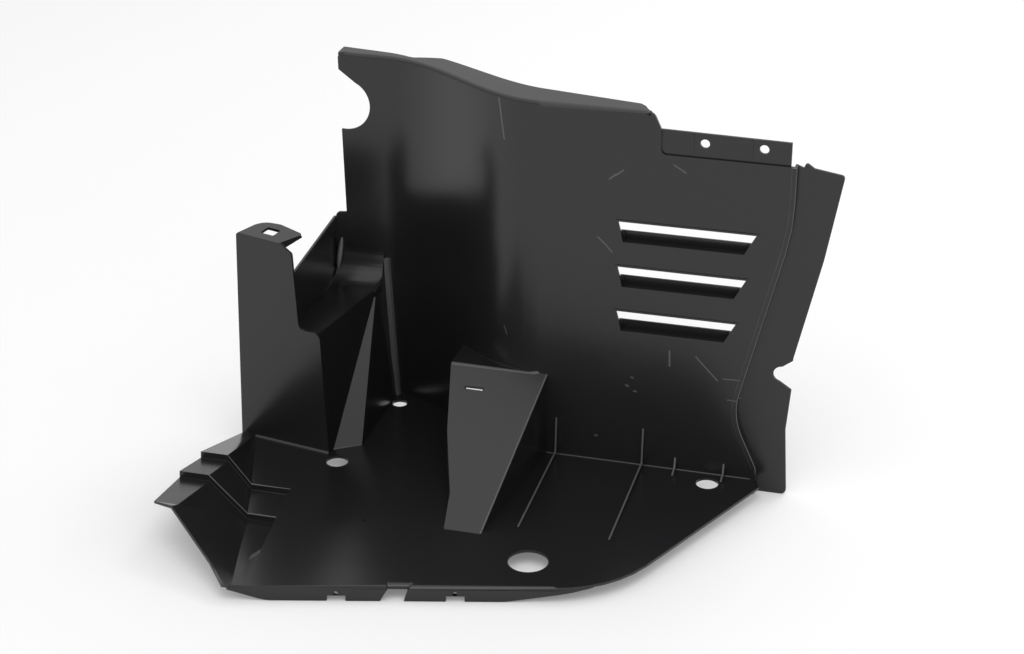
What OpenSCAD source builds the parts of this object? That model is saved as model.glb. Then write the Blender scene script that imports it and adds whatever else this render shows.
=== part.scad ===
// Front section of a front wheel arch liner, moulded in one sheet: a floor panel,
// a louvred wall with a top lip, a flange and a tab at its right, a side box with
// a fixing tab, a stepped flap along the left edge, a hollow ramp and thin ribs.
// Lengths are in millimetres. X runs along the wall, Y from the front edge back to
// the wall and Z up. The origin is the centre of the access hole, on the floor's
// upper face.

/* [Sheet] */
// thickness of the moulded sheet
sheet_t = 2.5; // [2:0.1:3]

/* [Wall] */
// distance from the access hole back to the wall's front face
wall_y = 184; // [170:1:200]
// reach of the wall to the left of the access hole
wall_left = 247; // [243:1:255]
// depth by which the wall's left part stands back
setback = 76; // [60:1:90]
// distance left of the access hole at which the wall starts to bend back
bend_start = 40; // [36:1:50]
// length along the wall over which it bends back
bend_run = 165; // [140:1:180]
// height of the shoulder that carries the tab, right of the tall part
shoulder_z = 301; // [290:1:310]
// height by which the wall's tall part stands above the shoulder
wall_rise = 37; // [30:1:45]
// right end of the tall part of the wall
tall_right = 62; // [40:1:64]
// distance from there to the visible left end of the tab
tall_gap = 4; // [2:0.5:6]
// radius of the tall part's upper right corner
tall_r = 8; // [4:1:12]
// radius of the round notch in the wall's left edge
notch_r = 24; // [15:1:28]
// height of the notch's centre
notch_z = 289; // [280:1:300]
// distance from the wall's left end to the notch's centre
notch_in = 5; // [3:0.5:8]
// angle at which the notch's upper edge leaves its round part
notch_turn = 43; // [38:1:48]
// distance from the wall's top to the start of that edge
notch_fall = 15; // [12:0.5:18]
// width by which the wall reaches further left at the side box
wing_w = 7; // [3:0.5:10]
// depth of the wall's skirt below the floor
skirt_h = 14; // [8:1:20]
// distance from the access hole to the skirt's right end
skirt_right = 100; // [60:1:103]
// distance left of the access hole at which the skirt starts
skirt_left = 165; // [130:1:170]

/* [Top lip] */
// depth of the lip along the middle of the wall
lip_wide = 29; // [15:1:35]
// depth of the lip at the wall's left end
lip_left = 18; // [8:1:24]
// depth of the lip where it is narrowest
lip_narrow = 10; // [6:1:14]
// distance left of the access hole at which the lip becomes wide
lip_swell = 150; // [130:1:165]
// length over which it widens and tapers
lip_fade = 28; // [15:1:40]
// depth of the lip at its right end
lip_end = 19; // [6:1:24]

/* [Hole tab] */
// length of the tab on the shoulder
tab_w = 110; // [90:1:110]
// height of the tab above the shoulder
tab_h = 22; // [18:1:30]
// length by which the tab runs on behind the wall
tab_root = 5; // [4:0.5:6]
// fall of the tab's top edge towards its right end
tab_fall = 1.6; // [0:0.2:4]
// depth by which the tab's face stands behind the wall's face
tab_set = 2; // [1:0.1:2.4]
// diameter of the tab's two holes
tab_hole_d = 8; // [5:0.5:10]
// distance between the tab's two holes
tab_pitch = 50; // [35:1:60]
// distance from the tab's left end to its first hole
tab_hole_x = 37; // [15:1:40]
// height of the holes above the shoulder
tab_hole_z = 12.5; // [10:0.5:14]
// distance from each hole to the low rib at its left
tab_rib_gap = 11; // [8:0.5:14]

/* [Right edge] */
// distance from the access hole to the bead at the shoulder
bead_top = 177; // [176:1:190]
// height at which the bead starts to run inwards
knee_z = 245; // [235:1:255]
// radius of the bend there
knee_r = 200; // [100:5:220]
// distance from the access hole to the bead at its waist
waist_x = 133; // [130:1:145]
// height of the bead's waist
waist_z = 62.5; // [55:0.5:75]
// radius of the waist
waist_r = 64; // [40:1:70]
// distance from the access hole to the bead at the floor
foot_x = 156; // [150:1:164]
// height at which the bead turns down to the floor
foot_z = 12; // [8:1:16]
// width of the bead
bead_w = 4.5; // [4:0.1:6]
// height of the bead in front of the wall
bead_h = 0.8; // [0.4:0.1:1.5]
// depth by which the flange stands behind the wall's face
flange_set = 6; // [4:0.5:10]
// width of the flange at its top
flange_top_w = 44; // [34:1:52]
// width of the flange at the height of its notch
flange_mid_w = 54; // [49:1:60]
// width of the flange at its foot
flange_foot_w = 32; // [25:1:40]
// radius of the notch in the flange's outer edge
flange_notch_r = 7.5; // [5:0.5:10]
// height of the flange's notch
flange_notch_z = 105; // [98:1:112]

/* [Louvres] */
// number of louvres
louvre_n = 3; // [1:1:4]
// width of the upper louvre's slot along its top edge
louvre_w = 120; // [90:1:125]
// height of each slot
louvre_h = 18.5; // [12:0.5:22]
// distance from one louvre to the next
louvre_pitch = 42.5; // [34:0.5:50]
// height of the upper slot's top edge
louvre_z = 236; // [220:1:250]
// distance from the access hole to the slots' left ends
louvre_x = 30.5; // [25:0.5:40]
// length by which each louvre is shorter than the one above it
louvre_step = 7; // [0:0.5:10]
// slant of a slot's right end
louvre_slant = 10; // [4:0.5:14]
// depth of the blades behind the wall
louvre_depth = 8; // [5:0.5:12]
// height of the thin rim round each slot
rim_h = 0.6; // [0.4:0.1:1.2]
// width of that rim
rim_w = 1.8; // [1:0.1:3]

/* [Floor] */
// distance from the access hole to the front edge, straight ahead
floor_front = 43; // [36:1:50]
// angle of the front edge to the wall
front_angle = 14.4; // [10:0.1:18]
// distance from the access hole to the outline's front right corner
corner_x = 77; // [70:1:85]
// radius of that corner
corner_r = 100; // [60:1:110]
// reach of the floor to the right, next to the wall
floor_right = 166; // [162:1:172]
// length of the chamfer there, in front of the wall
floor_chamfer = 12; // [8:1:20]
// diameter of the access hole
access_d = 34; // [20:0.5:38]
// diameter of the two fixing holes
fixing_d = 20; // [12:0.5:24]
// place of the right fixing hole along the wall
fixing_right_x = 120.5; // [105:0.5:130]
// distance from the wall's face to the right fixing hole
fixing_right_gap = 17; // [15:0.5:26]
// place of the left fixing hole, left of the access hole
fixing_left_x = 210; // [200:0.5:215]
// distance from the box's front to the left fixing hole
fixing_left_gap = 9.5; // [9:0.5:20]
// diameter of the small locating hole in front of the box
locate_d = 3; // [2:0.5:6]
// place of that hole, left of the access hole
locate_x = 153; // [140:1:170]
// distance from the access hole back to that hole
locate_y = 27; // [15:1:45]
// diameter of the low round pad beside the buttress
pad_d = 15; // [8:1:18]
// height of the round pads
pad_h = 0.6; // [0.3:0.1:1]
// diameter of the small rear hole
rear_d = 14; // [6:0.5:16]
// distance from the box's side to the small rear hole
rear_gap = 9.5; // [9:0.5:16]
// distance from the wall's left part to the small rear hole
rear_wall_gap = 20; // [14:0.5:30]

/* [Front lip] */
// drop of the front lip
lip_drop = 14; // [8:1:18]
// length over which the lip deepens at its left end
lip_rise_l = 34; // [20:1:50]
// length over which it fades out at its right end, past the access hole
lip_rise_r = 62; // [50:1:70]
// distance left of the access hole at which that fading starts
lip_rise_x = 8; // [0:1:20]
// width of the wide notch at the floor
lip_gap_w = 17; // [10:0.5:24]
// distance of the wide notch, left of the access hole
lip_gap_x = 92; // [80:1:100]
// width of the two small notches in the lip
lip_nick_w = 15; // [8:0.5:18]
// height of the two small notches
lip_nick_h = 5; // [3:0.5:6]
// distance between the two small notches
lip_nick_pitch = 95; // [80:1:110]
// diameter of the small hole above each of them
lip_hole_d = 4; // [3:0.5:5]

/* [Side box] */
// place of the box's front right corner, left of the access hole
box_x = 222; // [218:1:226]
// place of that corner behind the access hole
box_y = 130; // [120:1:136]
// width of the box's front panel
box_w = 92; // [80:1:100]
// angle by which the box's front panel is turned
box_angle = 10; // [6:0.5:14]
// height of the box's front panel
box_h = 204; // [190:1:215]
// taper of the front panel's two edges towards the top
panel_taper = 6; // [4:0.5:7]
// fall of the panel's upper right corner
panel_fall = 11; // [8:0.5:16]
// height of the box's side plate above the ledge, from the floor
side_h = 178; // [165:1:185]
// height of the ledge
ledge_z = 119; // [105:1:130]
// width of the ledge at the front panel
ledge_w = 24; // [18:1:28]
// radius of the fillet between ledge and wall
ledge_r = 28; // [10:1:34]
// lean of the box's lower side plate in degrees
side_lean = 3; // [2:0.5:6]
// fall of that plate's top edge towards the front
side_fall = 5; // [0:1:12]
// depth of the return along the front panel's left edge
return_d = 12; // [6:1:18]
// length of the drain slot at the foot of the box's side
drain_w = 12; // [6:1:16]
// height of that slot
drain_h = 4; // [2:0.5:6]
// distance from the wall to the slot
drain_gap = 24; // [18:1:30]
// width of the buttress beside the box
buttress_w = 23; // [14:1:26]
// height at which the buttress runs out on the box's side
buttress_h = 112; // [90:1:120]
// distance from the wall at which it runs out
buttress_gap = 27; // [15:1:40]
// angle by which the buttress's foot is turned
buttress_turn = 32; // [20:1:40]

/* [Box tab] */
// depth of the tab on top of the front panel
box_tab_d = 32; // [24:1:40]
// length of the tab along the front panel
box_tab_w = 44; // [40:1:50]
// angle by which the tab falls to the right
box_tab_fall = 3.5; // [2:0.5:5]
// length of the wing at the tab's right end
box_tab_wing = 9; // [5:0.5:12]
// depth of the web under the tab's right end
web_h = 8; // [4:0.5:12]
// side of the square hole in the tab
box_hole = 13; // [8:0.5:16]
// radius of that hole's corners
hole_r = 1.5; // [0.5:0.1:2]

/* [Stepped flap] */
// drop of each step towards the front
step_h = 6; // [3:0.5:8]
// distance from the access hole back to the rear step
step_1 = 60; // [52:1:70]
// distance from the access hole back to the front step
step_2 = 21; // [12:1:30]
// width of the flap's flange at its front end
flap_w = 22; // [15:1:30]
// width of the flange at the front step
flap_mid_w = 28; // [20:1:32]
// place of the flange's inner edge, left of the access hole
flap_x = 291; // [286:1:296]
// slant of that edge, sideways for each millimetre forwards
flap_slant = 0.045; // [0.02:0.005:0.06]
// distance by which it moves out from the rear step to the box
flap_spread = 14; // [10:1:16]
// distance from the rear step to the flap's rear end
flap_run = 85; // [80:1:90]
// rise of the flange for each millimetre towards the front
flap_rise = 0.18; // [0.1:0.01:0.24]
// height of the flange above the floor at the rear step
flap_z = 26; // [20:1:30]
// place of the fold between the floor and the flap, at the rear step
fold_x = 270; // [262:1:274]
// slant of that fold, sideways for each millimetre forwards
fold_slant = 0.28; // [0.2:0.01:0.3]
// distance in front of the access hole at which the flange ends
flap_end = 48; // [40:1:56]
// place of the corner where the steps end on the floor, left of the access hole
step_x = 233; // [228:1:240]
// width of the slope between the lowered patch and the floor
step_run = 7; // [4:0.5:9]
// distance in front of the rear step at which that slanted edge starts
step_lead = 10; // [8:1:12]
// slant of the edge at which the steps end, sideways for each millimetre forwards
step_slant = 0.123; // [0.05:0.001:0.15]

/* [Ramp] */
// distance from the access hole back to the ramp's toe
ramp_toe = 31; // [28:1:40]
// height of the ramp at the wall
ramp_h = 80; // [60:1:90]
// width of the ramp at its toe
ramp_toe_w = 33; // [24:1:40]
// distance from the ramp's right edge at the wall to its toe
ramp_toe_gap = 19; // [14:1:24]
// width of the ramp at the wall
ramp_w = 90; // [70:1:96]
// distance from the access hole to the ramp's right edge at the wall
ramp_right = 31; // [26:1:33]
// length of the slot through the ramp
ramp_slot_w = 16; // [8:1:20]
// width of that slot
ramp_slot_d = 5.5; // [3:0.5:8]
// distance from the slot to the wall and to the ramp's left edge
ramp_slot_gap = 24; // [20:1:30]

/* [Ribs] */
// width of the ribs
rib_w = 1.6; // [1.2:0.1:2.4]
// height of the ribs where wall and floor meet
rib_h = 4; // [2:0.5:6]
// length of the ribs up the wall
rib_up = 38; // [20:1:50]
// length of the ribs along the floor
rib_out = 135; // [100:1:140]
// place of the long rib beside the ramp, left of the access hole
rib_1 = 22; // [20:1:24]
// place of the second long rib, right of the access hole
rib_2 = 58; // [40:1:70]
// distance from there to the first short rib
tick_gap = 30; // [20:1:34]
// length of the short ribs along the floor
tick_out = 14; // [8:1:16]
// distance between the short ribs
tick_pitch = 44; // [30:1:50]

/* [View] */

/* [Hidden] */
eps = 0.01;
overlap = 0.5;
beyond = 10;
bend_n = 20;
arc_step = 9;
plastic = [0.13, 0.13, 0.14];
wall_h = shoulder_z + wall_rise;
rear_y = wall_y + setback;
nick_mid = -lip_gap_x - 3;
nose_x = (-step_x + (step_1 - step_lead + floor_front) * step_slant)
    / (1 + tan(front_angle) * step_slant);
nose_y = -floor_front + nose_x * tan(front_angle);
nose_tip = -step_x + 2.4;
lip_start = nose_tip + 1.3;
toe = [-box_x - 1, box_y + 7];
flap_width = [
    [-flap_end + flap_w / 3, flap_w],
    [step_2, flap_mid_w],
    [step_1, flap_mid_w - 2],
    [box_y + box_w * tan(box_angle), sheet_t * 2]];
tongue = 6;
inset = 0.05;

function unit(v) = v / norm(v);

function mix(a, b, k) = a * (1 - k) + b * k;

// arc that rounds the corner p = [x, y, r] between its neighbours a and b
function corner(a, p, b) =
    p.z == 0 ? [[p.x, p.y]] :
    let (tip = [p.x, p.y],
         u = unit([a.x, a.y] - tip),
         v = unit([b.x, b.y] - tip),
         half = acos(u * v) / 2,
         centre = tip + unit(u + v) * p.z / sin(half),
         start = tip + u * p.z / tan(half) - centre,
         sweep = -sign(cross(u, v)) * (180 - 2 * half),
         n = max(2, ceil(abs(sweep) / arc_step)),
         a0 = atan2(start.y, start.x))
    [for (i = [0:n]) centre + p.z * [cos(a0 + sweep * i / n), sin(a0 + sweep * i / n)]];

// closed outline whose corners [x, y, r] are rounded
function rounded(c) =
    let (n = len(c))
    [for (i = [0:n - 1]) each corner(c[(i + n - 1) % n], c[i], c[(i + 1) % n])];

// open chain of points moved sideways by d
function beside(c, d) =
    let (n = len(c))
    [for (i = [0:n - 1])
        let (a = unit(c[min(i + 1, n - 1)] - c[min(i, n - 2)]),
             b = unit(c[max(i, 1)] - c[max(i - 1, 0)]),
             m = unit([a.y + b.y, -a.x - b.x]))
        c[i] + m * d / max(0.4, m * [a.y, -a.x])];

// height line of the wall's plan: its front face over x
function wall_front(x) =
    let (u = min(1, max(0, (-bend_start - x) / bend_run)))
    wall_y + setback * (1 - cos(180 * u)) / 2;

function wall_slope(x) =
    let (u = min(1, max(0, (-bend_start - x) / bend_run)))
    -setback * PI * sin(180 * u) / (2 * bend_run);

// stations along the wall from its left end to x1
function stations(x1) =
    concat([-wall_left - wing_w],
        [for (i = [0:bend_n]) -bend_start - bend_run * (1 - i / bend_n)],
        [x1]);

function wall_line(x1, d) =
    [for (x = stations(x1)) [x, wall_front(x)] + d * unit([-wall_slope(x), 1])];

// front edge of the floor
function front_y(x) = -floor_front + x * tan(front_angle);

// front face of the box's front panel
function box_front(x) = box_y - (x + box_x) * tan(box_angle);

// bead between the wall and the right flange, from the foot to the shoulder
function bead(d) =
    [[foot_x + d, -skirt_h, 0],
     [foot_x + d, foot_z, foot_z * 0.8],
     [waist_x + d, waist_z, waist_r],
     [bead_top + d, knee_z, knee_r],
     [bead_top + d, shoulder_z, 0]];

// solid over a front view outline [x, z], between two depths
module from_front(y0, y1) {
    translate([0, y1, 0])
        rotate([90, 0, 0])
            linear_extrude(y1 - y0)
                children();
}

// solid over a side view outline [y, z], between two places along the wall
module from_side(x0, x1) {
    translate([x0, 0, 0])
        rotate([90, 0, 90])
            linear_extrude(x1 - x0)
                children();
}

// solid through a row of closed sections, each a list of points [x, y, z]
module loft(sections) {
    n = len(sections[0]);
    m = len(sections);
    polyhedron(
        points = [for (s = sections) each s],
        faces = concat(
            [[for (i = [0:n - 1]) i]],
            [[for (i = [n - 1:-1:0]) (m - 1) * n + i]],
            [for (j = [0:m - 2]) for (i = [0:n - 1])
                let (k = (i + 1) % n)
                each [[j * n + i, (j + 1) * n + i, (j + 1) * n + k],
                      [j * n + i, (j + 1) * n + k, j * n + k]]]),
        convexity = 10);
}

// straight bore, round in plan
module bore(d) {
    translate([0, 0, -sheet_t - 1])
        cylinder(d = d, h = sheet_t + 2, $fn = 48);
}

module floor_panel() {
    color(plastic)
        difference() {
            translate([0, 0, -sheet_t])
                linear_extrude(sheet_t)
                    polygon(floor_outline());
            bore(access_d);
            translate([fixing_right_x, wall_y - fixing_right_gap, 0])
                bore(fixing_d);
            translate([-fixing_left_x, box_front(-fixing_left_x) - fixing_left_gap, 0])
                bore(fixing_d);
            translate([side_x(1, 0) + rear_gap, rear_y - rear_wall_gap, 0])
                bore(rear_d);
            translate([-locate_x, locate_y, 0])
                bore(locate_d);
            translate([0, 0, -sheet_t - 1])
                linear_extrude(sheet_t + 2)
                    polygon(ramp_plan(sheet_t / 2));
        }
}

// low round pads on the floor between ramp and side box
module floor_pads() {
    places = [
        [-locate_x - 6, box_y + 31, pad_d],
        [-locate_x - 35, locate_y - 4, pad_d / 2],
        [-locate_x + 6, locate_y + 37, pad_d / 2],
        [-locate_x + 14, locate_y + 21, pad_d / 2]];
    color(plastic)
        for (p = places)
            translate([p.x, p.y, -overlap])
                cylinder(d = p.z, h = overlap + pad_h, $fn = 32);
}

function floor_outline() =
    concat(
        rounded([
            [-step_x - inset * 4, box_front(-step_x) + 1, 0],
            [-step_x - inset * 4, step_1 - step_lead, 0],
            [nose_x - inset * 4, front_y(nose_x - inset * 4), 0],
            [corner_x, front_y(corner_x), corner_r],
            [floor_right, wall_y - floor_chamfer, 0],
            [foot_x + bead_w, wall_y, 0],
            [foot_x + bead_w, wall_y + sheet_t, 0]]),
        [for (i = [len(stations(0)) - 2:-1:1])
            if (stations(0)[i] > -box_x + buttress_w + 1)
                wall_line(foot_x, sheet_t / 2)[i]],
        [[-box_x + buttress_w - 1, rear_y + 1],
         [-box_x + buttress_w - 1, toe.y + buttress_w * tan(buttress_turn) + 1],
         [toe.x, toe.y + 1],
         [-box_x, box_y + 1]]);

// line along which the steps end on the floor
function diag_x(y) =
    -step_x + (step_1 - step_lead - min(y, step_1 - step_lead)) * step_slant;

module front_lip() {
    y0 = front_y(-step_x) - lip_drop;
    y1 = wall_y / 3;
    color(plastic)
        difference() {
            intersection() {
                translate([0, 0, -lip_drop])
                    linear_extrude(lip_drop - sheet_t / 2)
                        polygon(lip_band());
                from_front(y0, y1)
                    polygon(rounded([
                        [lip_start, 0, 0],
                        [lip_start, -4, 0],
                        [-step_x + lip_rise_l, -lip_drop, lip_rise_l],
                        [-lip_rise_x, -lip_drop, lip_rise_r],
                        [lip_rise_r, -sheet_t, 0],
                        [lip_rise_r, 0, 0]]));
            }
            for (s = [-1, 1])
                translate([nick_mid + s * lip_nick_pitch / 2, 0, 0]) {
                    from_front(y0, y1)
                        translate([-lip_nick_w / 2, -lip_drop - 1])
                            square([lip_nick_w, lip_nick_h + 1]);
                    translate([0, y1, -lip_drop + lip_nick_h + sheet_t])
                        rotate([90, 0, 0])
                            cylinder(d = lip_hole_d, h = y1 - y0, $fn = 24);
                }
        }
}

// wide notch through the lip and the floor's front edge
module wide_notch() {
    translate([nick_mid, front_y(nick_mid), 0])
        rotate([0, 0, front_angle])
            from_front(-beyond, sheet_t + overlap)
                polygon([
                    [-lip_gap_w / 2 + 3, sheet_t],
                    [-lip_gap_w / 2 + 2, -sheet_t],
                    [-lip_gap_w / 2 - 5, -lip_drop - 1],
                    [lip_gap_w / 2 - 2, -lip_drop - 1],
                    [lip_gap_w / 2 + 2, -sheet_t],
                    [lip_gap_w / 2 + 3, sheet_t]]);
}

// band under the floor's front edge, as wide as the sheet is thick
function lip_band() =
    let (outer = rounded([
            [lip_start, front_y(lip_start), 0],
            [corner_x, front_y(corner_x), corner_r],
            [floor_right, wall_y - floor_chamfer, 0]]),
         n = len(outer) - 1,
         kept = [for (i = [0:n - 1]) outer[i]])
    concat(beside(kept, -inset * 2), [for (i = [n - 1:-1:0]) beside(kept, -sheet_t)[i]]);

module wall() {
    color(plastic)
        difference() {
            intersection() {
                translate([0, 0, -skirt_h])
                    linear_extrude(wall_h + skirt_h)
                        polygon(concat(wall_line(bead_top + 2, 0),
                            [for (i = [len(stations(0)) - 1:-1:0])
                                wall_line(bead_top + 2, sheet_t)[i]]));
                from_front(wall_y - beyond, rear_y + beyond * 2)
                    polygon(wall_face());
            }
            translate([-wall_left + notch_in, rear_y - beyond, notch_z])
                rotate([-90, 0, 0])
                    cylinder(r = notch_r, h = beyond * 4, $fn = 64);
            from_front(rear_y - beyond, rear_y + beyond * 2)
                polygon([
                    [-wall_left - beyond, wall_h - notch_fall],
                    [-wall_left - 1, wall_h - notch_fall],
                    [-wall_left, notch_z] + [notch_in, 0]
                        + notch_r * [cos(notch_turn), sin(notch_turn)],
                    [-wall_left + notch_in, notch_z],
                    [-wall_left - beyond, notch_z]]);
            from_front(wall_y - beyond, rear_y + beyond * 2)
                polygon([
                    [-ramp_right - ramp_w + sheet_t / 2, -sheet_t / 2],
                    [-ramp_right - ramp_w + sheet_t / 2, ramp_h - sheet_t * 1.5],
                    [-ramp_right - sheet_t / 2, ramp_h - sheet_t * 1.5],
                    [-ramp_right - sheet_t / 2, -sheet_t / 2]]);
            louvres(false);
        }
}

// front view of the wall
function wall_face() =
    rounded(concat(
        [[side_x(1, 0) - 1, -sheet_t, 0],
         [-skirt_left, -sheet_t, 0],
         [-skirt_left, -skirt_h, 0],
         [skirt_right, -skirt_h, 0],
         [skirt_right, -sheet_t, 0],
         [foot_x, -sheet_t, 0]],
        [for (i = [1:4]) bead(1)[i]],
        [[tall_right + tall_gap, shoulder_z, 5],
         [tall_right + tall_gap, shoulder_z + tab_h, 4],
         [tall_right - 3, wall_h, tall_r],
         [-wall_left, wall_h, 5],
         [-wall_left + 3.5, side_h + 5, 2],
         [-wall_left - wing_w, side_h + 4, 4],
         [-wall_left - wing_w, ledge_z - sheet_t, 0],
         [side_x(1, ledge_z) - 1, ledge_z - sheet_t, 0]]));

// lip that runs back from the wall's top edge
module top_lip() {
    x1 = tall_right - tall_r;
    width = [
        [-wall_left, lip_left],
        [-lip_swell - lip_fade, lip_narrow],
        [-lip_swell, lip_wide],
        [-lip_fade, lip_wide],
        [x1 - tall_r / 2, lip_end],
        [x1, lip_end * 0.75]];
    n = bend_n * 3;
    line = [for (i = [0:n]) mix(-wall_left, x1, i / n)];
    color(plastic)
        translate([0, 0, wall_h - sheet_t])
            linear_extrude(sheet_t)
                polygon(concat(
                    [for (x = line) [x, wall_front(x) + sheet_t / 2]],
                    [for (i = [n:-1:0])
                        [line[i], wall_front(line[i]) + lookup(line[i], width)]]));
}

module hole_tab() {
    x0 = tall_right + tall_gap;
    y0 = wall_y + tab_set;
    color(plastic)
        difference() {
            from_front(y0, y0 + sheet_t)
                polygon([
                    [x0 - tab_root * 1.6, shoulder_z - tab_root],
                    [x0 + tab_w, shoulder_z - tab_root],
                    [x0 + tab_w, shoulder_z + tab_h - tab_fall],
                    [x0 - tab_root * 1.6, shoulder_z + tab_h]]);
            for (i = [0, 1])
                translate([x0 + tab_hole_x + i * tab_pitch, y0 - 1, shoulder_z + tab_hole_z])
                    rotate([-90, 0, 0])
                        cylinder(d = tab_hole_d, h = sheet_t + 2, $fn = 32);
        }
    // low upright rib beside each hole
    color(plastic)
        for (i = [0, 1])
            translate([x0 + tab_hole_x - tab_rib_gap + i * tab_pitch, 0, 0])
                from_front(y0 - rim_h, y0 + 1)
                    translate([0, shoulder_z + 2])
                        square([rib_w, tab_h - 4]);
}

// strip along the bead, between two distances from its left line
module bead_strip(d0, d1) {
    back = rounded(bead(d1));
    polygon(concat(
        rounded(bead(d0)),
        [for (i = [len(back) - 1:-1:0]) back[i]]));
}

module right_flange() {
    y1 = wall_y + flange_set + sheet_t;
    notch_x = waist_x + flange_mid_w - flange_notch_r * 1.2;
    notch_half = flange_notch_r * 2.1;
    color(plastic) {
        from_front(wall_y - bead_h, wall_y + sheet_t)
            bead_strip(0, bead_w);
        from_front(wall_y + eps, y1)
            bead_strip(bead_w - sheet_t, bead_w - inset);
    }
    color(plastic)
        difference() {
            from_front(wall_y + flange_set, y1)
                polygon(rounded(concat(
                    [for (i = [0:4]) bead(bead_w - sheet_t / 2)[i]],
                    [[bead_top + bead_w * 2, shoulder_z - 2, 0],
                     [bead_top + bead_w * 2 + 2, shoulder_z + 3, 2],
                     [bead_top + bead_w * 4, shoulder_z - 2, 2],
                     [bead_top + flange_top_w, shoulder_z - 6, 3],
                     [bead_top + flange_top_w * 0.7, knee_z - flange_top_w * 0.65, knee_r],
                     [waist_x + flange_mid_w, flange_notch_z + notch_half, 0],
                     [waist_x + flange_mid_w, flange_notch_z - notch_half, 3],
                     [waist_x + flange_mid_w - 3, waist_z - foot_z, foot_z],
                     [foot_x + flange_foot_w, -skirt_h, 5]])));
            translate([notch_x, wall_y, flange_notch_z])
                rotate([-90, 0, 0])
                    cylinder(r = flange_notch_r, h = beyond * 2, $fn = 32);
            from_front(wall_y, wall_y + beyond * 2)
                polygon([
                    [notch_x, flange_notch_z + flange_notch_r],
                    [notch_x - 3, flange_notch_z - flange_notch_r + 1],
                    [waist_x + flange_mid_w + 2, flange_notch_z - notch_half],
                    [waist_x + flange_mid_w + 2, flange_notch_z + notch_half]]);
        }
}

// slot i in front view, grown by d
function slot(i, d) =
    let (x1 = louvre_x + louvre_w - i * louvre_step,
         z1 = louvre_z - i * louvre_pitch)
    [[louvre_x - d, z1 + d],
     [louvre_x + louvre_slant / 2 - d * 0.8, z1 - louvre_h - d],
     [x1 - louvre_slant + d * 0.7, z1 - louvre_h - d],
     [x1 + d * 1.3, z1 + d]];

// louvre slots, or the scoops and rims round them
module louvres(solid) {
    back = wall_y + louvre_depth;
    for (i = [0:louvre_n - 1]) {
        z0 = louvre_z - i * louvre_pitch - louvre_h;
        if (!solid)
            from_front(wall_y - 2, wall_y + sheet_t + 1)
                polygon(slot(i, 0));
        if (solid)
            color(plastic)
                difference() {
                    union() {
                        intersection() {
                            from_front(wall_y + eps, back + 2)
                                polygon(slot(i, rim_w));
                            from_side(louvre_x - beyond, louvre_x + louvre_w + beyond)
                                polygon([
                                    [wall_y + eps, z0 - rim_w],
                                    [back, z0 - rim_w],
                                    [back, z0 + louvre_depth],
                                    [wall_y + eps, z0 + louvre_depth]]);
                        }
                        from_front(wall_y - rim_h, wall_y + 1)
                            polygon(slot(i, rim_w));
                    }
                    intersection() {
                        from_front(wall_y - 2, back + 4)
                            polygon(slot(i, 0));
                        from_side(louvre_x - beyond, louvre_x + louvre_w + beyond)
                            polygon([
                                [wall_y - 2, z0 - 2],
                                [wall_y, z0 - 0.5],
                                [back - rim_w * 1.6, z0],
                                [back - rim_w, z0 + louvre_depth + 0.5],
                                [back + 4, z0 + louvre_depth + 0.5],
                                [back + 4, z0 + louvre_h + 2],
                                [wall_y - 2, z0 + louvre_h + 2]]);
                    }
                }
    }
}

// place of the box's side over its depth k (0 at the front panel, 1 at the wall)
function side_x(k, z) =
    mix(-box_x, -box_x + (rear_y - box_y) * tan(box_angle), k) - z * tan(side_lean);

module side_box() {
    color(plastic) {
        box_front_panel();
        box_upper_side();
        box_ledge();
        box_lower_side();
        difference() {
            buttress(0);
            buttress(sheet_t);
        }
    }
}

// plate from the front panel's upper part back to the wall's left edge
module box_upper_side() {
    x0 = -box_x - ledge_w - sheet_t * 2;
    run = rear_y - box_front(x0);
    turn = atan2(x0 + wall_left + wing_w, run);
    translate([x0, box_front(x0), 0])
        rotate([0, 0, turn])
            from_side(-sheet_t, 0)
                polygon([
                    [sheet_t / 2, ledge_z - sheet_t],
                    [run + 1, ledge_z - sheet_t],
                    [run + 1, side_h],
                    [sheet_t / 2, side_h - side_fall]]);
}

// ledge between the two side plates, rising to the wall in a fillet
module box_ledge() {
    x0 = -box_x - ledge_w - panel_taper;
    r = ledge_r;
    translate([0, 0, ledge_z - sheet_t])
        linear_extrude(sheet_t)
            polygon([
                [x0, box_front(x0) + sheet_t / 2],
                [side_x(0, ledge_z) - 1, box_front(-box_x) + sheet_t],
                [side_x(1, ledge_z) - 1, rear_y + 1],
                [-wall_left - wing_w + 1, rear_y + 1]]);
    from_side(-wall_left - wing_w + 1, side_x(1, ledge_z + r) - 1)
        difference() {
            translate([rear_y - r, ledge_z - sheet_t])
                square([r + 1, r + sheet_t]);
            translate([rear_y - r, ledge_z + r])
                circle(r = r, $fn = 48);
        }
}

// places its children in the plane of the box's leaning side
module on_side() {
    translate([-box_x, box_y, 0])
        rotate([0, 0, -box_angle])
            rotate([0, -side_lean, 0])
                children();
}

// leaning plate from the front panel's right edge back to the wall
module box_lower_side() {
    len = (rear_y - box_y) / cos(box_angle) + 1;
    on_side()
        from_side(-sheet_t, 0)
            difference() {
                polygon([
                    [sheet_t / 2, -sheet_t / 2],
                    [len, -sheet_t / 2],
                    [len, ledge_z + ledge_r],
                    [len - ledge_r * 0.3, ledge_z + ledge_r * 0.3],
                    [len - ledge_r, ledge_z],
                    [sheet_t / 2, ledge_z]]);
                translate([len - drain_gap - drain_w, drain_h / 2])
                    square([drain_w, drain_h]);
            }
}

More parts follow.
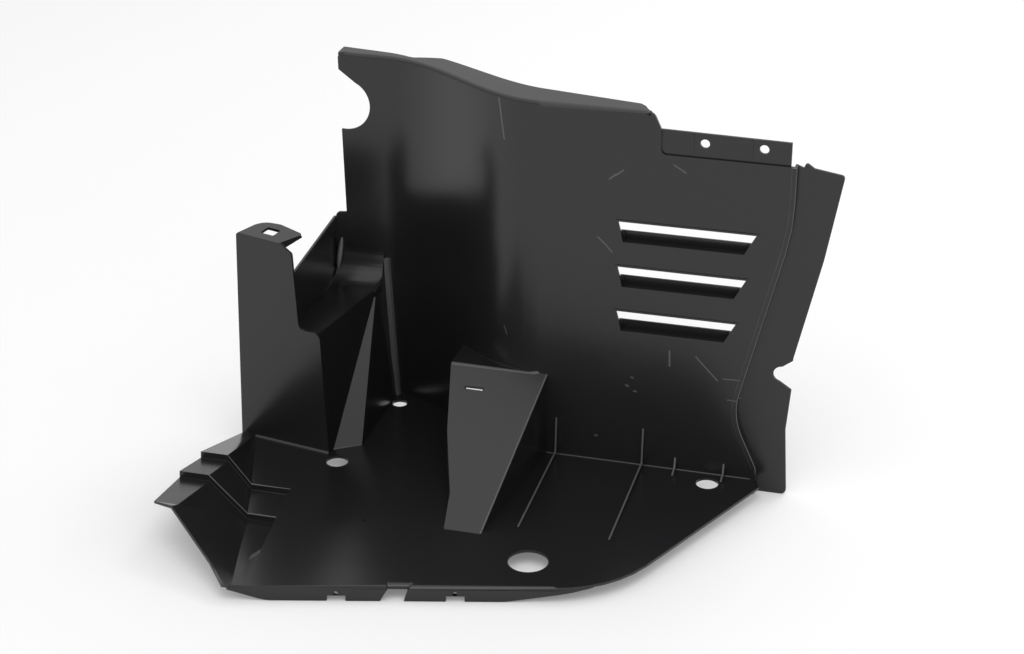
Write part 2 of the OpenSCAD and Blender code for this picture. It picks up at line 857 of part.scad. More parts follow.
// front panel with the step of the ledge in its right edge, and its left return
module box_front_panel() {
    translate([-box_x, box_y, 0])
        rotate([0, 0, -box_angle]) {
            from_front(0, sheet_t)
                polygon(rounded([
                    [-box_w, -sheet_t, 0],
                    [0, -sheet_t, 0],
                    [-sheet_t * 2, ledge_z + 1, panel_taper + 1],
                    [-ledge_w - 2, ledge_z + 1, panel_taper],
                    [-ledge_w - panel_taper, box_h - panel_fall, 3],
                    [-box_w + panel_taper + box_tab_w, box_h - 3, 2],
                    [-box_w + panel_taper, box_h, 3]]));
            from_front(0, return_d)
                polygon([
                    [-box_w, -sheet_t],
                    [-box_w + sheet_t, -sheet_t],
                    [-box_w + panel_taper + sheet_t, box_h - 4],
                    [-box_w + panel_taper, box_h - 4]]);
        }
}

// tapered buttress in the corner between box and wall, moved in by d to hollow it
module buttress(d) {
    top_y = rear_y - buttress_gap;
    top_x = side_x((top_y - box_y) / (rear_y - box_y), buttress_h);
    run = (top_y - toe.y) * cos(buttress_turn) - (top_x - toe.x) * sin(buttress_turn);
    intersection() {
        from_front(toe.y - beyond, rear_y + 1 - d / 4)
            polygon([
                [-box_x - beyond * 4, -1 - d],
                [-box_x + buttress_w + 1 - d, -1 - d],
                [top_x + 1 - d, buttress_h],
                [-box_x - beyond * 4, buttress_h]]);
        translate([toe.x, toe.y, 0])
            rotate([0, 0, buttress_turn])
                from_side(-buttress_h, buttress_h)
                    polygon([
                        [d * 1.3, -1 - d],
                        [d * 1.3, 0],
                        [run * 2, buttress_h * 2 - d * 1.3],
                        [run * 2, -1 - d]]);
        on_side()
            from_side(-1 - d * 2, buttress_h)
                square([rear_y, buttress_h * 3], center = true);
    }
}

module box_tab() {
    translate([-box_x, box_y, 0])
        rotate([0, 0, -box_angle])
            color(plastic)
                translate([-box_w + panel_taper, 0, box_h])
                    rotate([0, box_tab_fall, 0])
                        difference() {
                            translate([0, 0, -sheet_t])
                                linear_extrude(sheet_t)
                                    polygon(rounded([
                                        [2, 0, 0],
                                        [box_tab_w, 0, 0],
                                        [box_tab_w + box_tab_wing, box_tab_d - 5, 4],
                                        [box_tab_w - box_tab_wing * 2, box_tab_d + 3, 10],
                                        [box_tab_wing - 1, box_tab_d, 14]]));
                            translate([
                                box_tab_w / 2 - 3,
                                box_tab_d / 2 - box_hole / 2 + 1,
                                -sheet_t - 1])
                                linear_extrude(sheet_t + 2)
                                    polygon(rounded([
                                        [0, 0, hole_r],
                                        [box_hole, 0, hole_r],
                                        [box_hole, box_hole, hole_r],
                                        [0, box_hole, hole_r]]));
                        }
}

// web under the right end of the box's tab, thin towards its tip
module box_tab_web() {
    tip = [box_tab_wing, box_tab_d - 7];
    translate([-box_x, box_y, 0])
        rotate([0, 0, -box_angle])
            color(plastic)
                translate([-box_w + panel_taper, 0, box_h])
                    rotate([0, box_tab_fall, 0])
                        translate([box_tab_w, 0, 0])
                            rotate([0, 0, -atan2(tip.x, tip.y)])
                                from_side(-sheet_t, -inset * 2)
                                    polygon([
                                        [overlap, -1],
                                        [overlap, -web_h],
                                        [sheet_t, -web_h],
                                        [norm(tip), -sheet_t],
                                        [norm(tip), -1]]);
}

// height of the flap's flange over y, before the steps
function flap_top(y) =
    y > step_1 ? mix(flap_z, 3, (y - step_1) / (box_front(-flap_x) - step_1)) :
    flap_z + (step_1 - y) * flap_rise;

// drop of the floor patch over y: level after each step, then rising to the front
function patch_drop(y, n) =
    n < 2 ? n * step_h : n * step_h * max(0, 1 - (step_2 - y) / (step_2 + step_1));

// share of the way from the flange's front end to the floor's left front corner
function nose(y) = max(0, (-flap_end - y) / (-flap_end - nose_y));

// line across the flap at y: flange, slope, floor patch and the step beside it
function flap_line(y, n) =
    let (in_x = y > step_1 ? mix(-flap_x, -flap_x - flap_spread, (y - step_1) / flap_run) :
             mix(-flap_x - (step_1 - max(y, -flap_end)) * flap_slant, nose_tip, nose(y)),
         width = y > -flap_end ? lookup(y, flap_width) : sheet_t,
         fold = -fold_x + (step_1 - y) * fold_slant * (y > step_1 ? 1.2 : 1),
         top = mix(flap_top(max(y, -flap_end)) - n * step_h, overlap, nose(y)),
         drop = patch_drop(y, n),
         out = y > -flap_end ? [-width, 0] :
             width * unit([in_x - fold, top + drop + inset]))
    [[in_x, top] + out,
     [in_x, top],
     [fold, -drop - inset],
     [diag_x(y) - step_run, -drop - inset],
     [diag_x(y), -inset],
     [diag_x(y) + tongue, -inset]];

// section of the flap: upper face after n steps, lower face after m steps; it stands
// at y or, for the nose, along the floor's front edge
function flap_section(y, n, m, nose = false) =
    let (low = beside(flap_line(y, m), sheet_t - inset * 2))
    [for (p = concat(flap_line(y, n), [for (i = [len(low) - 1:-1:0]) low[i]]))
        [p.x, nose ? front_y(p.x) + inset * 4 : y, p.y]];

module stepped_flap() {
    t = sheet_t;
    color(plastic)
        difference() {
            loft([
                flap_section(nose_y, 2, 2, true),
                flap_section(mix(-flap_end, nose_y, 0.75), 2, 2),
                flap_section(mix(-flap_end, nose_y, 0.5), 2, 2),
                flap_section(mix(-flap_end, nose_y, 0.25), 2, 2),
                flap_section(-flap_end, 2, 2),
                flap_section(-flap_end + flap_w / 3, 2, 2),
                flap_section(step_2 - 0.5, 2, 2),
                flap_section(step_2, 1, 2),
                flap_section(step_2 + t, 1, 2),
                flap_section(step_2 + t + 0.5, 1, 1),
                flap_section(step_1 - 0.5, 1, 1),
                flap_section(step_1, 0, 1),
                flap_section(step_1 + t, 0, 1),
                flap_section(step_1 + t + 0.5, 0, 0),
                flap_section(box_front(-flap_x) + 4, 0, 0)]);
            // it ends inside the box's front panel
            translate([-box_x, box_y, 0])
                rotate([0, 0, -box_angle])
                    from_front(sheet_t / 2, box_w)
                        translate([-box_w - beyond * 2, -beyond * 2])
                            square([box_w + beyond * 6, beyond * 6]);
        }
}

// plan of the ramp up to the wall, moved in by d
function ramp_plan(d) =
    let (x0 = -ramp_right - ramp_w + d,
         x1 = -ramp_right - d,
         back = sheet_t / 2 + d * 2)
    concat(
        [[-ramp_right - ramp_toe_gap - d, ramp_toe + d * 2],
         [-ramp_right - ramp_toe_gap - ramp_toe_w + d, ramp_toe + d * 2],
         [-ramp_right - ramp_toe_gap - ramp_toe_w - 4 + d, ramp_toe + ramp_toe_w],
         [x0 + ramp_toe_gap - 1, mix(ramp_toe, wall_y, 0.5)],
         [x0, wall_y],
         [x0, wall_front(x0) + back]],
        [for (x = stations(0))
            if (x > x0 + 1 && x < x1 - 1)
                [x, wall_front(x) + back]],
        [[x1, wall_y + back],
         [x1, wall_y]]);

// side view of the ramp, lowered by d
function ramp_side(d) =
    [[ramp_toe + d * 3, -sheet_t - d],
     [ramp_toe + d * 3, -d * 0.5],
     [wall_y, ramp_h - d * 1.15],
     [rear_y + beyond, ramp_h - d * 1.15],
     [rear_y + beyond, -sheet_t - d]];

module ramp_form(d) {
    intersection() {
        translate([0, 0, -sheet_t * 3])
            linear_extrude(ramp_h + beyond * 2)
                polygon(ramp_plan(d));
        from_side(-ramp_right - ramp_w - beyond, 0)
            polygon(ramp_side(d));
    }
}

module ramp_slot() {
    translate([-ramp_right - ramp_w + ramp_slot_gap, wall_y - ramp_slot_gap, 0])
        linear_extrude(ramp_h)
            square([ramp_slot_w, ramp_slot_d]);
}

// rib across the corner of wall and floor, tapering out at both ends
module rib(x, up, out) {
    color(plastic)
        from_side(x - rib_w / 2, x + rib_w / 2)
            polygon([
                [wall_y + overlap, -overlap],
                [wall_y + overlap, up],
                [wall_y - rib_h * 0.3, up],
                [wall_y - rib_h, rib_h],
                [wall_y - out, rib_h * 0.3],
                [wall_y - out, -overlap]]);
}

module ribs() {
    rib(-rib_1, rib_up, rib_out);
    rib(rib_2, rib_up, rib_out);
    for (i = [0, 1])
        rib(rib_2 + tick_gap + i * tick_pitch, rib_up / 3, tick_out);
}

module ramp() {
    color(plastic)
        difference() {
            ramp_form(0);
            ramp_form(sheet_t);
            ramp_slot();
        }
}

module liner() {
    difference() {
        union() {
            floor_panel();
            front_lip();
        }
        wide_notch();
    }
    stepped_flap();
    wall();
    louvres(true);
    top_lip();
    hole_tab();
    right_flange();
    side_box();
    box_tab();
    box_tab_web();
    floor_pads();
    ramp();
    ribs();
}

liner();
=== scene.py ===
import math

import bmesh
import bpy
from mathutils import Matrix, Vector


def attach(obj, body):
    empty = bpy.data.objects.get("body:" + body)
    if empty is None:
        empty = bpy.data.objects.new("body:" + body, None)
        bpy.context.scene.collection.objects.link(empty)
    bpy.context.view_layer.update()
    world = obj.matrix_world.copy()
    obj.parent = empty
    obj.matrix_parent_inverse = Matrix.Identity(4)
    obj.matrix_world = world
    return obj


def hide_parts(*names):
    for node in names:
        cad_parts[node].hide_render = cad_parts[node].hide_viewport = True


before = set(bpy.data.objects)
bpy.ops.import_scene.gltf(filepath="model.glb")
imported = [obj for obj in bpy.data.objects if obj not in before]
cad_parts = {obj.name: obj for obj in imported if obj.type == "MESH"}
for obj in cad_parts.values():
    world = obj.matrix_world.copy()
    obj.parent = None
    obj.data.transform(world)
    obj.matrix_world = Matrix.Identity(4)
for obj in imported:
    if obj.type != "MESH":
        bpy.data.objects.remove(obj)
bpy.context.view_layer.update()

MM = 0.001

# The camera stands in front and to the right, with a long lens.
# Turn and dip are in degrees.
CAMERA_PLACE = (398.1 * MM, -1516.3 * MM, 982.3 * MM)
CAMERA_TURN = 15.2
CAMERA_DIP = 26.0
CAMERA_REACH = 50
LENS = 77.35
SENSOR = 36.0

# The paper's width, and how far it lies under the floor panel's upper face.
PAPER_WIDTH = 12
GROUND_DROP = 14.2 * MM

# Strengths of the white room: as it is seen, as it lights matt faces, and as
# the liner mirrors it at the horizon, half way up and overhead.
SEEN_ROOM = 1.0
MATT_ROOM = 0.75
MIRRORED_HORIZON = 1.3
MIRRORED_LOW = 0.55
MIRRORED_MIDDLE = 0.62
MIRRORED_OVERHEAD = 1.3

# Where both soft boxes point.
LAMP_AIM = (0, 0.1, 0)

WHITE = (1, 1, 1, 1)
PAPER_WHITE = (0.85, 0.85, 0.85, 1)
PAPER_GLOW = 0.16
MOULDED_BLACK = (0.011, 0.011, 0.012, 1)
# Light grey painted on edges and corner strips: a painted highlight in place of the light
# lines along them.
PAINTED_HIGHLIGHT_GREY = (0.1, 0.1, 0.105, 1)
SCRATCH_GREY = (0.1, 0.1, 0.104, 1)
PLASTIC_IOR = 1.5
MOULDED_ROUGHNESS = 0.24
# Roughness of the painted highlight grey.
PAINTED_HIGHLIGHT_ROUGHNESS = 0.34

# The liner's second material slot holds the light grey plastic that paints highlights along
# edges and in corners.
PAINTED_HIGHLIGHT_SLOT = 1

# Angles in degrees: what counts as a folded edge, and how far the shading
# runs on over a fold.
FOLDED = 24
SMOOTHED = 26.5

# Down the ramp, from the wall to its toe.
RAMP_FALL = Vector((0, -0.885, -0.466))

# Ways that faces look.
UP = (0, 0, 1)
FRONT = (0, -1, 0)
RAMP_TOP = (0, -0.47, 0.88)
RAMP_SIDE = (1, -0.1, 0)
FLOOR_FRONT = (0.25, -0.97, 0)

# Light scratches on the wall, in millimetres: x and z of both ends, and the
# half width.
SCRATCHES = [
    (-78.0, 334.4, -75.4, 315.6, 0.45),
    (-75.4, 315.6, -72.7, 298.5, 0.45),
    (22.6, 275.1, 28.6, 280.4, 0.40),
    (28.6, 279.4, 34.6, 284.6, 0.40),
    (77.5, 292.8, 88.0, 286.6, 0.35),
    (13.1, 220.2, 25.8, 206.5, 0.35),
    (79.2, 117.8, 79.7, 103.1, 0.55),
    (102.9, 115.1, 122.9, 94.1, 0.40),
    (41.1, 79.0, 42.9, 78.3, 0.60),
    (48.5, 74.0, 50.3, 73.8, 0.60),
    (45.4, 87.6, 47.3, 86.8, 0.45),
    (127.6, 96.7, 142.7, 97.3, 0.30),
    (132.1, 76.6, 143.6, 76.7, 0.30),
    (-73.1, 119.8, -70.3, 112.2, 0.30),
    (13.8, 24.4, 15.6, 24.2, 0.60),
]


def take(piece=None):
    """The piece alone is selected and active, or nothing is selected."""
    if bpy.context.object and bpy.context.object.mode != "OBJECT":
        bpy.ops.object.mode_set(mode="OBJECT")
    bpy.ops.object.select_all(action="DESELECT")
    if piece:
        piece.select_set(True)
        bpy.context.view_layer.objects.active = piece


def place_camera():
    """A long lens on the liner, as the photographer stood."""
    bpy.ops.object.camera_add(
        location=CAMERA_PLACE,
        rotation=(math.radians(90 - CAMERA_DIP), 0, math.radians(CAMERA_TURN)),
    )
    camera = bpy.context.object
    camera.name = "camera"
    camera.data.lens = LENS
    camera.data.sensor_width = SENSOR
    camera.data.clip_end = CAMERA_REACH
    bpy.context.scene.camera = camera


def soft_lamp(name, place, size, power):
    """A square soft box that faces the liner."""
    bpy.ops.object.light_add(type="AREA", location=place)
    lamp = bpy.context.object
    lamp.name = name
    lamp.data.shape = "SQUARE"
    lamp.data.size = size
    lamp.data.energy = power
    toward = Vector(LAMP_AIM) - Vector(place)
    lamp.rotation_euler = toward.to_track_quat("-Z", "Y").to_euler()


def white_background(tree, strength):
    """An even white, for the world."""
    background = tree.nodes.new("ShaderNodeBackground")
    background.inputs["Color"].default_value = WHITE
    background.inputs["Strength"].default_value = strength
    return background


def change_over(tree, socket, span, ends):
    """A value that goes from one end to the other while the socket crosses the span."""
    node = tree.nodes.new("ShaderNodeMapRange")
    node.inputs["From Min"].default_value = span[0]
    node.inputs["From Max"].default_value = span[1]
    node.inputs["To Min"].default_value = ends[0]
    node.inputs["To Max"].default_value = ends[1]
    tree.links.new(socket, node.inputs["Value"])
    return node.outputs[0]


def one_of_two(tree, operation, first, second):
    """The larger or the smaller of two values."""
    node = tree.nodes.new("ShaderNodeMath")
    node.operation = operation
    tree.links.new(first, node.inputs[0])
    tree.links.new(second, node.inputs[1])
    return node.outputs[0]


def swap_where(tree, share, usual, swapped):
    """The usual shader, and the swapped one where the share is 1."""
    node = tree.nodes.new("ShaderNodeMixShader")
    tree.links.new(share, node.inputs[0])
    tree.links.new(usual, node.inputs[1])
    tree.links.new(swapped, node.inputs[2])
    return node.outputs[0]


def light_studio():
    """A white room with one soft box above and one behind."""
    world = bpy.data.worlds.new("white_room")
    bpy.context.scene.world = world
    world.use_nodes = True
    tree = world.node_tree
    tree.nodes.clear()
    out = tree.nodes.new("ShaderNodeOutputWorld")
    seen = white_background(tree, SEEN_ROOM)
    room = white_background(tree, MATT_ROOM)
    mirrored = white_background(tree, MIRRORED_MIDDLE)
    way = tree.nodes.new("ShaderNodeTexCoord")
    height = tree.nodes.new("ShaderNodeSeparateXYZ")
    tree.links.new(way.outputs["Generated"], height.inputs[0])
    climb = change_over(
        tree, height.outputs["Z"], (0.3, 0.85), (MIRRORED_MIDDLE, MIRRORED_OVERHEAD)
    )
    horizon = change_over(
        tree, height.outputs["Z"], (0.08, 0.2), (MIRRORED_HORIZON, MIRRORED_LOW)
    )
    brighter = one_of_two(tree, "MAXIMUM", climb, horizon)
    tree.links.new(brighter, mirrored.inputs["Strength"])
    rays = tree.nodes.new("ShaderNodeLightPath")
    lights = swap_where(
        tree, rays.outputs["Is Glossy Ray"], room.outputs[0], mirrored.outputs[0]
    )
    shown = swap_where(tree, rays.outputs["Is Camera Ray"], lights, seen.outputs[0])
    tree.links.new(shown, out.inputs["Surface"])
    soft_lamp("overhead_box", (0.3, -0.9, 2.3), 1.6, 13)
    soft_lamp("back_box", (0.9, 1.9, 2.2), 1.2, 14)


def white_paper():
    """The sheet that the liner stands on: white, with the liner's soft shadow."""
    paper = bpy.data.materials.new("white_paper")
    paper.use_nodes = True
    tree = paper.node_tree
    tree.nodes.clear()
    out = tree.nodes.new("ShaderNodeOutputMaterial")
    matt = tree.nodes.new("ShaderNodeBsdfDiffuse")
    matt.inputs["Color"].default_value = PAPER_WHITE
    glow = tree.nodes.new("ShaderNodeEmission")
    glow.inputs["Color"].default_value = WHITE
    glow.inputs["Strength"].default_value = PAPER_GLOW
    none = tree.nodes.new("ShaderNodeEmission")
    none.inputs["Strength"].default_value = 0
    rays = tree.nodes.new("ShaderNodeLightPath")
    looked_at = one_of_two(
        tree, "MAXIMUM", rays.outputs["Is Camera Ray"], rays.outputs["Is Glossy Ray"]
    )
    lift = swap_where(tree, looked_at, none.outputs[0], glow.outputs[0])
    both = tree.nodes.new("ShaderNodeAddShader")
    tree.links.new(matt.outputs[0], both.inputs[0])
    tree.links.new(lift, both.inputs[1])
    tree.links.new(both.outputs[0], out.inputs["Surface"])
    return paper


def lay_paper():
    """A wide plain sheet under the liner."""
    take()
    bpy.ops.mesh.primitive_plane_add(size=PAPER_WIDTH, location=(0, 0, -GROUND_DROP))
    paper = bpy.context.object
    paper.name = "paper"
    paper.data.materials.append(white_paper())


def distance_to_scratch(tree, wall_place, scratch):
    """How far a place on the wall is from one scratch, in half widths of it."""
    x_one, z_one, x_two, z_two, half_width = scratch
    start = Vector((x_one, 0, z_one))
    run = Vector((x_two, 0, z_two)) - start
    from_start = tree.nodes.new("ShaderNodeVectorMath")
    from_start.operation = "SUBTRACT"
    from_start.inputs[1].default_value = start
    tree.links.new(wall_place, from_start.inputs[0])
    share = tree.nodes.new("ShaderNodeVectorMath")
    share.operation = "DOT_PRODUCT"
    share.inputs[1].default_value = run / run.length_squared
    tree.links.new(from_start.outputs[0], share.inputs[0])
    kept = tree.nodes.new("ShaderNodeMath")
    kept.operation = "ADD"
    kept.use_clamp = True
    kept.inputs[1].default_value = 0
    tree.links.new(share.outputs["Value"], kept.inputs[0])
    along = tree.nodes.new("ShaderNodeVectorMath")
    along.operation = "SCALE"
    along.inputs[0].default_value = run
    tree.links.new(kept.outputs[0], along.inputs["Scale"])
    aside = tree.nodes.new("ShaderNodeVectorMath")
    aside.operation = "DISTANCE"
    tree.links.new(from_start.outputs[0], aside.inputs[0])
    tree.links.new(along.outputs[0], aside.inputs[1])
    scaled = tree.nodes.new("ShaderNodeMath")
    scaled.operation = "DIVIDE"
    scaled.inputs[1].default_value = half_width
    tree.links.new(aside.outputs["Value"], scaled.inputs[0])
    return scaled.outputs[0]


def link_scratches(tree, shader):
    """Thin light lines on the wall, at the places in the list of scratches."""
    place = tree.nodes.new("ShaderNodeTexCoord")
    flat = tree.nodes.new("ShaderNodeVectorMath")
    flat.operation = "MULTIPLY"
    flat.inputs[1].default_value = (1 / MM, 0, 1 / MM)
    tree.links.new(place.outputs["Object"], flat.inputs[0])
    nearest = distance_to_scratch(tree, flat.outputs[0], SCRATCHES[0])
    for scratch in SCRATCHES[1:]:
        distance = distance_to_scratch(tree, flat.outputs[0], scratch)
        nearest = one_of_two(tree, "MINIMUM", nearest, distance)
    fade = change_over(tree, nearest, (0.3, 2.2), (1, 0))
    tint = tree.nodes.new("ShaderNodeMix")
    tint.data_type = "RGBA"
    tint.inputs[6].default_value = MOULDED_BLACK
    tint.inputs[7].default_value = SCRATCH_GREY
    tree.links.new(fade, tint.inputs[0])
    tree.links.new(tint.outputs[2], shader.inputs["Base Color"])


def plain_plastic(name, colour, roughness):
    """A plastic of one even colour."""
    plastic = bpy.data.materials.new(name)
    plastic.use_nodes = True
    shader = plastic.node_tree.nodes["Principled BSDF"]
    shader.inputs["Base Color"].default_value = colour
    shader.inputs["Roughness"].default_value = roughness
    shader.inputs["IOR"].default_value = PLASTIC_IOR
    return plastic


def black_moulding():
    """Satin black plastic as it comes out of the mould, a little wavy, with scratches."""
    plastic = plain_plastic("black_moulding", MOULDED_BLACK, MOULDED_ROUGHNESS)
    tree = plastic.node_tree
    shader = tree.nodes["Principled BSDF"]
    link_scratches(tree, shader)
    place = tree.nodes.new("ShaderNodeTexCoord")
    waves = tree.nodes.new("ShaderNodeTexNoise")
    waves.inputs["Scale"].default_value = 14
    waves.inputs["Detail"].default_value = 1
    tree.links.new(place.outputs["Object"], waves.inputs["Vector"])
    unevenness = tree.nodes.new("ShaderNodeBump")
    unevenness.inputs["Strength"].default_value = 0.5
    unevenness.inputs["Distance"].default_value = 0.8 * MM
    tree.links.new(waves.outputs["Fac"], unevenness.inputs["Height"])
    tree.links.new(unevenness.outputs["Normal"], shader.inputs["Normal"])
    return plastic


def painted_highlight_plastic():
    """The same plastic painted light grey: a painted highlight for edges and corners."""
    return plain_plastic("painted_highlight_edge", PAINTED_HIGHLIGHT_GREY, PAINTED_HIGHLIGHT_ROUGHNESS)


def in_box(point, low, high):
    """True where the point, in metres, is inside the box, in millimetres."""
    return all(a * MM <= v <= b * MM for v, a, b in zip(point, low, high))


def has_room(edge, room):
    """True where nothing small lies beside the edge."""
    if edge.calc_length() < room:
        return False
    for vert in edge.verts:
        for beside in vert.link_edges:
            if beside is not edge and beside.calc_length() < room:
                return False
    return all(face.calc_area() / edge.calc_length() > room for face in edge.link_faces)


def looks_both_ways(edge, facing):
    """True where one face of the edge looks one way and its other face the other."""
    first, second = (face.normal for face in edge.link_faces)
    one, other = (Vector(side).normalized() for side in facing)
    straight = first.dot(one) > 0.8 and second.dot(other) > 0.8
    crossed = first.dot(other) > 0.8 and second.dot(one) > 0.8
    return straight or crossed


def pick_edges(low, high, facing, bend, room):
    """Select the folded edges inside the box, on the piece in edit mode.

    facing holds two directions, one for each of the edge's faces. bend is
    convex, concave or any. room is the least size of what lies beside an
    edge, in millimetres. True where an edge was found.
    """
    bpy.ops.mesh.select_all(action="DESELECT")
    mesh = bmesh.from_edit_mesh(bpy.context.object.data)
    found = False
    for edge in mesh.edges:
        if len(edge.link_faces) != 2:
            continue
        if not all(in_box(v.co, low, high) for v in edge.verts):
            continue
        if edge.calc_face_angle() < math.radians(FOLDED):
            continue
        if bend != "any" and edge.is_convex != (bend == "convex"):
            continue
        if facing and not looks_both_ways(edge, facing):
            continue
        if room and not has_room(edge, room * MM):
            continue
        edge.select = True
        found = True
    mesh.select_flush_mode()
    bmesh.update_edit_mesh(bpy.context.object.data)
    return found


def paint_highlight_on_selected():
    """What is selected gets the light grey plastic, a painted highlight."""
    bpy.context.object.active_material_index = PAINTED_HIGHLIGHT_SLOT
    bpy.ops.object.material_slot_assign()


def round_edges(low, high, radius, facing=None, bend="any", segments=3, room=0.0):
    """Round the picked edges with the bevel tool, radius in mm. True where there are any."""
    if not pick_edges(low, high, facing, bend, room):
        return False
    bpy.ops.mesh.bevel(
        offset=radius * MM, segments=segments, profile=0.5, clamp_overlap=False
    )
    return True


def round_and_paint_highlight(low, high, radius, facing, bend, segments):
    """Round the picked edges, and paint them light grey as a painted highlight."""
    if round_edges(low, high, radius, facing, bend, segments):
        paint_highlight_on_selected()


def paint_highlight_on_faces(low, high, facing):
    """The faces inside the box that face this way are painted light grey, a painted
    highlight.
    """
    bpy.ops.mesh.select_all(action="DESELECT")
    mesh = bmesh.from_edit_mesh(bpy.context.object.data)
    for face in mesh.faces:
        inside = all(in_box(v.co, low, high) for v in face.verts)
        face.select = inside and face.normal.dot(Vector(facing)) > 0.8
    bmesh.update_edit_mesh(bpy.context.object.data)
    paint_highlight_on_selected()


def pick_corners(low, high):
    """Select the corners inside the box, on the piece in edit mode."""
    bpy.ops.mesh.select_all(action="DESELECT")
    mesh = bmesh.from_edit_mesh(bpy.context.object.data)
    for vert in mesh.verts:
        vert.select = in_box(vert.co, low, high)
    mesh.select_flush_mode()
    bmesh.update_edit_mesh(bpy.context.object.data)


def shift(low, high, move):
    """The corners inside the box are moved, all in millimetres."""
    pick_corners(low, high)
    bpy.ops.transform.translate(value=[part * MM for part in move])


def corner_fillet(start, end, along_one, along_other, leg):
    """A hollow-faced strip in a corner, from start to end, in millimetres.

    Its two legs lie on the two walls of the corner.
    """
    take()
    bpy.ops.mesh.primitive_cube_add(size=1, location=(0.5, 0.5, 0.5))
    strip = bpy.context.object
    bpy.ops.object.transform_apply(location=True, rotation=False, scale=False)
    bpy.ops.object.mode_set(mode="EDIT")
    mesh = bmesh.from_edit_mesh(strip.data)
    for edge in mesh.edges:
        edge.select = all(v.co.x > 0.9 and v.co.y > 0.9 for v in edge.verts)
    bmesh.update_edit_mesh(strip.data)
    bpy.ops.mesh.bevel(offset=0.985, segments=6, profile=0.13, clamp_overlap=False)
    # the cube is stretched and slanted between the two walls
    run = Vector(end) - Vector(start)
    sides = [Vector(along_one) * leg, Vector(along_other) * leg, run]
    fit = Matrix([[side[row] * MM for side in sides] for row in range(3)]).to_4x4()
    fit.translation = Vector(start) * MM
    mesh = bmesh.from_edit_mesh(strip.data)
    for vert in mesh.verts:
        vert.co = fit @ vert.co
    bmesh.update_edit_mesh(strip.data)
    bpy.ops.mesh.select_all(action="SELECT")
    bpy.ops.mesh.normals_make_consistent(inside=False)
    bpy.ops.object.mode_set(mode="OBJECT")
    return strip


def round_bar(start, end, radius):
    """A round bar from start to end, in millimetres."""
    take()
    run = (Vector(end) - Vector(start)) * MM
    bpy.ops.mesh.primitive_uv_sphere_add(segments=16, ring_count=12, radius=1)
    bar = bpy.context.object
    bar.scale = (radius * MM, radius * MM, run.length / 2)
    bar.rotation_euler = run.to_track_quat("Z", "Y").to_euler()
    bar.location = (Vector(end) + Vector(start)) * MM / 2
    bpy.ops.object.transform_apply(location=True, rotation=True, scale=True)
    return bar


def clean_mesh():
    """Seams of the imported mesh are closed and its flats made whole."""
    bpy.ops.mesh.select_all(action="SELECT")
    bpy.ops.mesh.remove_doubles(threshold=0.02 * MM)
    bpy.ops.mesh.dissolve_limited(angle_limit=math.radians(0.6))


def thin_slot():
    """The ramp's slot is a thin one, a little to the left."""
    left = Vector((-4, 0, 0))
    shift((-98, 164, 66), (-80, 167, 71), RAMP_FALL * 1.7 + left)
    shift((-98, 159, 63), (-80, 161, 68), RAMP_FALL * -1.7 + left)


def trim_lip_end():
    """The lip's right end has one corner in front, and its back is cut shorter."""
    pick_corners((52, 183.9, 337.9), (54.2, 186, 338.1))
    bpy.ops.mesh.merge(type="CENTER")
    shift((48, 197, 335), (55, 204, 339), (-5, 0, 0))


def deepen_lip():
    """The lip is deepest where it bends, left of the middle."""
    middle, reach, depth = -80, 65, 7
    mesh = bmesh.from_edit_mesh(bpy.context.object.data)
    for vert in mesh.verts:
        x, y, z = vert.co / MM
        behind_wall = y > 202 + 0.62 * max(0, -60 - x)
        if z > 335 and behind_wall and abs(x - middle) < reach:
            vert.co.y += depth * MM * math.cos(math.pi / 2 * (x - middle) / reach)
    bmesh.update_edit_mesh(bpy.context.object.data)


def lean_blades():
    """The louvre blades look down to the floor."""
    for foot in (132.5, 175, 217.5):
        shift((30, 189, foot - 0.2), (145, 189.2, foot + 0.2), (0, 2.2, 0))


def straighten_risers():
    """The flap's risers beside the floor stand upright."""
    upright = (4, 0, 0)
    shift((-237.5, 20, -13), (-235.5, 20.9, -11), upright)
    shift((-229.5, -41.5, -3.2), (-228, -40, -2.6), upright)
    shift((-240.5, 20.9, -6.3), (-236, 60, -5.7), upright)


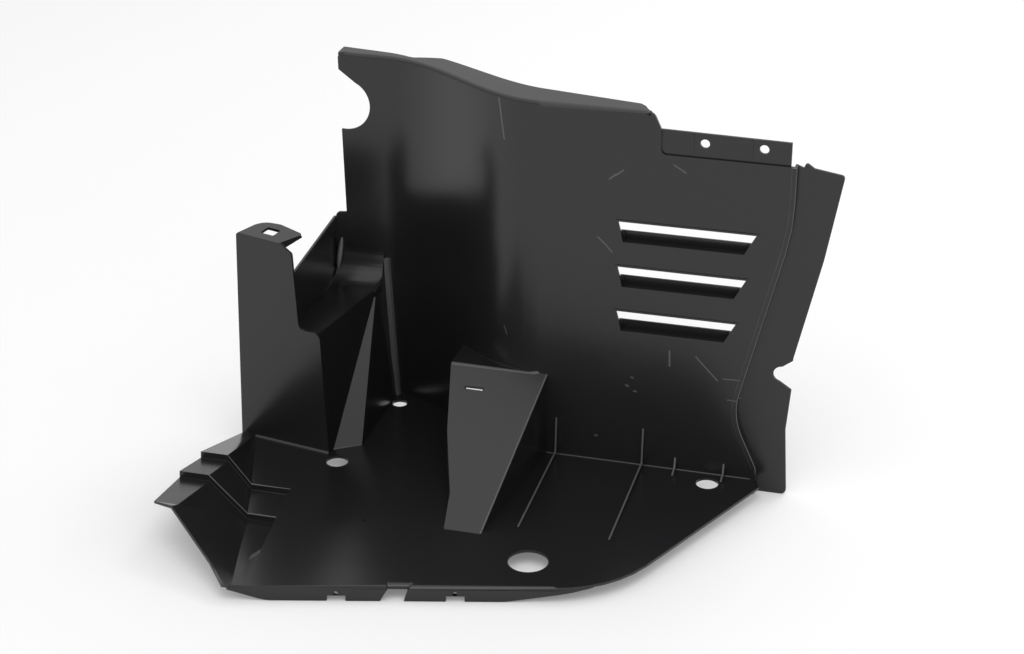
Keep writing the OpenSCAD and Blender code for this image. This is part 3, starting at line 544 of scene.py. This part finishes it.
def ease_edges():
    """Edges are rounded as the mould leaves them, and painted light grey as a painted
    highlight where they stand out.
    """
    # the lip's crown along the wall's top
    round_edges((-250, 170, 337), (60, 270, 339), 4.0, (UP, FRONT), "convex", 4)
    # the rolled front edge of the floor
    round_edges((-229, -110, -0.4), (36, -30, 0.4), 3.9, (UP, FLOOR_FRONT), "convex", 4)
    # the ramp's top and right edges, with a painted highlight
    round_and_paint_highlight((-122, 183, 79), (-39, 185, 81), 2.0, (UP, RAMP_TOP), "any", 3)
    round_and_paint_highlight(
        (-51, 30, -0.5), (-30, 185, 81), 1.0, (RAMP_TOP, RAMP_SIDE), "convex", 3
    )
    # the ramp's other long edges and the box's front right edge
    round_edges((-122, 30, 0.5), (-30, 186, 90), 1.6, None, "convex", 4, 2.0)
    round_edges((-232, 126, 1), (-218, 134, 118), 1.6, None, "convex", 4, 2.0)
    # the corner where the wall meets the floor
    round_edges((-60, 183, -0.3), (157, 185, 0.3), 1.2, (UP, FRONT), "concave", 4)
    # the bead beside the flange, its edges painted light grey as painted highlight lines
    round_and_paint_highlight((133, 183.1, 9), (183, 183.3, 302), 0.45, None, "convex", 1)
    # the steps of the flap, their edges painted light grey as a painted highlight
    for step, low_z in ((21, -6.5), (60, -0.5)):
        low = (-300, step - 0.2, low_z)
        high = (-225, step + 0.2, 40)
        round_and_paint_highlight(low, high, 0.7, None, "convex", 2)
    # the ribs on the floor and up the wall, their tops and fronts painted light grey as
    # painted highlight lines
    for rib in (-22, 58, 88, 132):
        paint_highlight_on_faces((rib - 1, 48, 1), (rib + 1, 181, 4.2), UP)
        paint_highlight_on_faces((rib - 1, 179, 3.8), (rib + 1, 183, 39), FRONT)
    # all else that has room, up to where the flange begins
    round_edges((-400, -200, -60), (118, 400, 400), 0.55, None, "any", 2, 1.5)


def corner_strips():
    """What the mould leaves thick in the corners around the side box."""
    off_wall = (-0.17, -0.985, 0)
    off_side = (1, -0.08, 0)
    return [
        # between the box's right side and the wall
        corner_fillet((-206.6, 260, 141), (-199.2, 259.7, 0), off_wall, off_side, 4.5),
        # between the box's front and the floor
        corner_fillet((-298, 143.4, 0), (-222.1, 130, 0), off_wall, UP, 1.6),
        # where the shelf's hollow ends at the left
        round_bar((-249, 260, 157), (-251.5, 253, 127), 2.6),
    ]


def dress_liner(plastic, highlight_plastic):
    """The moulded sheet itself, with its edges and corners eased, and painted highlights on
    some edges and on the corner strips.
    """
    take(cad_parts["liner"])
    bpy.ops.object.duplicate()
    liner = bpy.context.object
    liner.name = "liner_moulding"
    liner.data.materials.clear()
    liner.data.materials.append(plastic)
    liner.data.materials.append(highlight_plastic)
    if liner.data.has_custom_normals:
        bpy.ops.mesh.customdata_custom_splitnormals_clear()
    bpy.ops.object.mode_set(mode="EDIT")
    clean_mesh()
    thin_slot()
    trim_lip_end()
    deepen_lip()
    lean_blades()
    straighten_risers()
    ease_edges()
    bpy.ops.object.mode_set(mode="OBJECT")
    strips = corner_strips()
    take(liner)
    # the corner strips are painted light grey, a painted highlight in the corners
    for strip in strips:
        strip.data.materials.append(highlight_plastic)
        strip.select_set(True)
    bpy.ops.object.join()
    bpy.ops.object.shade_smooth_by_angle(angle=math.radians(SMOOTHED))
    steady = liner.modifiers.new("steady_shading", "WEIGHTED_NORMAL")
    steady.keep_sharp = True
    bpy.ops.object.modifier_apply(modifier="steady_shading")
    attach(liner, "root")
    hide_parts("liner")


bpy.context.scene.view_settings.view_transform = "Standard"
place_camera()
light_studio()
lay_paper()
dress_liner(black_moulding(), painted_highlight_plastic())
